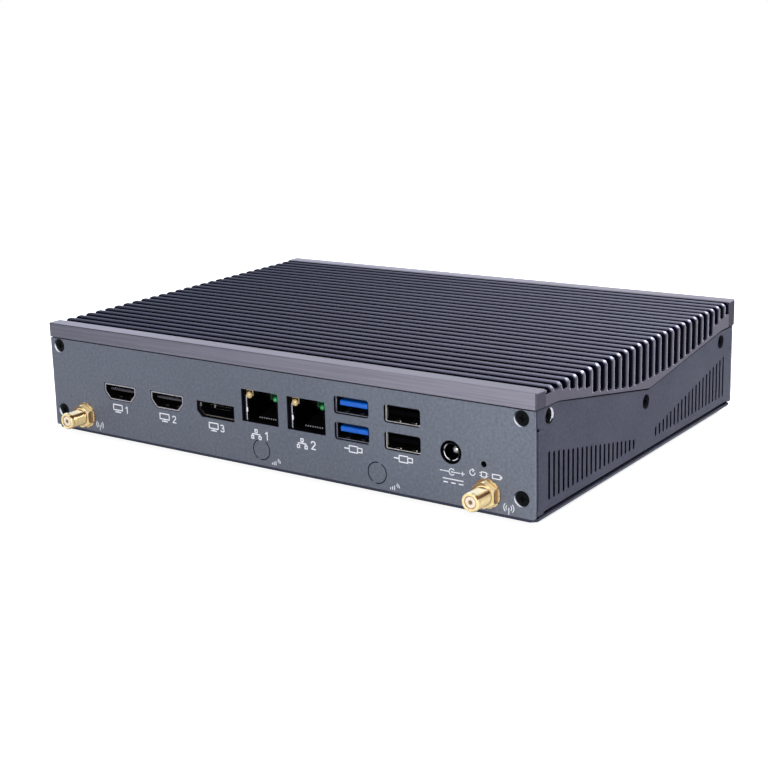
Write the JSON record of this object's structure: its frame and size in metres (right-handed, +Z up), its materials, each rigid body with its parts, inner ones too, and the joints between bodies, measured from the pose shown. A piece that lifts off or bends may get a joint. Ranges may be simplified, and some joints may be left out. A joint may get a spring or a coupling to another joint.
{
  "type": "fanless mini computer",
  "caption": "Small fanless desktop computer: ribbed aluminium heatsink lid over a flat sheet-metal box with a row of sockets, antenna jacks and cooling slots.",
  "frame": {"origin": "centre of the mounting hole pattern on the underside of the bottom cover", "axes": "+X to the right seen from the socket side, +Y from the socket panel to the front panel, +Z up through the fins"},
  "size_m": [0.214, 0.1703, 0.0448],
  "materials": {
    "ribbed_lid": "satin anodised, violet grey",
    "grey_sheet": "satin powder coat, blue grey",
    "dark_sheet": "satin powder coat, darker blue grey",
    "black_screw": "black oxide",
    "plain_screw": "zinc plated",
    "bright_steel": "nickel plated",
    "gold_plated": "gold plated",
    "black_plastic": "moulded, fine matte",
    "white_plastic": "smooth",
    "blue_plastic": "moulded, satin",
    "clear_plastic": "translucent",
    "amber_lens": "translucent",
    "green_lens": "translucent",
    "rubber_black": "matte",
    "circuit_board": "green solder mask",
    "chip_black": "moulded epoxy",
    "pad_grey": "soft pad",
    "block_metal": "milled",
    "can_metal": "drawn can"
  },
  "bodies": {
    "chassis": {"antenna_cables": "black_plastic", "antenna_contacts": "gold_plated", "antenna_insulators": "white_plastic", "antenna_jacks": "gold_plated", "antenna_nuts": "gold_plated", "antenna_washers": "gold_plated", "board_capacitors": "can_metal", "board_chips": "chip_black", "board_screws": "plain_screw", "board_standoffs": "gold_plated", "bottom_cover": "dark_sheet", "bottom_screws": "black_screw", "card_screws": "plain_screw", "card_sockets": "black_plastic", "card_standoffs": "gold_plated", "cmos_switch_body": "black_plastic", "coin_cell": "bright_steel", "coin_cell_holder": "black_plastic", "dc_jack_body": "black_plastic", "dc_jack_contacts": "bright_steel", "front_panel": "grey_sheet", "front_panel_screws": "black_screw", "heat_block": "block_metal", "heat_block_screws": "plain_screw", "heatsink_cover": "ribbed_lid", "io_panel": "grey_sheet", "io_panel_screws": "black_screw", "lan_amber_leds": "amber_lens", "lan_contacts": "gold_plated", "lan_green_leds": "green_lens", "lan_housings": "black_plastic", "lan_shields": "bright_steel", "led_light_pipe": "clear_plastic", "mainboard": "circuit_board", "memory_chips": "chip_black", "memory_module": "circuit_board", "memory_socket": "black_plastic", "power_button_bezel": "bright_steel", "power_inductors": "chip_black", "power_switch": "black_plastic", "processor_die": "chip_black", "processor_package": "circuit_board", "rubber_feet": "rubber_black", "side_panel_left": "dark_sheet", "side_panel_right": "dark_sheet", "side_panel_screws": "black_screw", "ssd_card": "circuit_board", "thermal_pad": "pad_grey", "usb2_shield": "bright_steel", "usb2_tongues": "black_plastic", "usb3_shield": "bright_steel", "usb3_tongues": "blue_plastic", "video_shields": "bright_steel", "video_tongues": "black_plastic", "wifi_card": "circuit_board"},
    "button": {"power_button": "black_plastic", "power_switch_plunger": "white_plastic"},
    "reset_pin": {"cmos_plunger": "black_plastic"},
    "latch_left": {"memory_latch_left": "bright_steel"},
    "latch_right": {"memory_latch_right": "bright_steel"}
  },
  "joints": [
    {"name": "power_button_press", "type": "slide", "parent": "chassis", "child": "button", "axis": [0, -1, 0], "range_m": [0, 0.0006]},
    {"name": "reset_pin_press", "type": "slide", "parent": "chassis", "child": "reset_pin", "axis": [0, 1, 0], "range_m": [0, 0.0003]},
    {"name": "memory_latch_left_spread", "type": "hinge", "parent": "chassis", "child": "latch_left", "pos_m": [-0.0656, 0.014, 0.0107], "axis": [0, 0, -1], "range_deg": [0, 4]},
    {"name": "memory_latch_right_spread", "type": "hinge", "parent": "chassis", "child": "latch_right", "pos_m": [0.0056, 0.014, 0.0107], "axis": [0, 0, 1], "range_deg": [0, 4]}
  ]
}
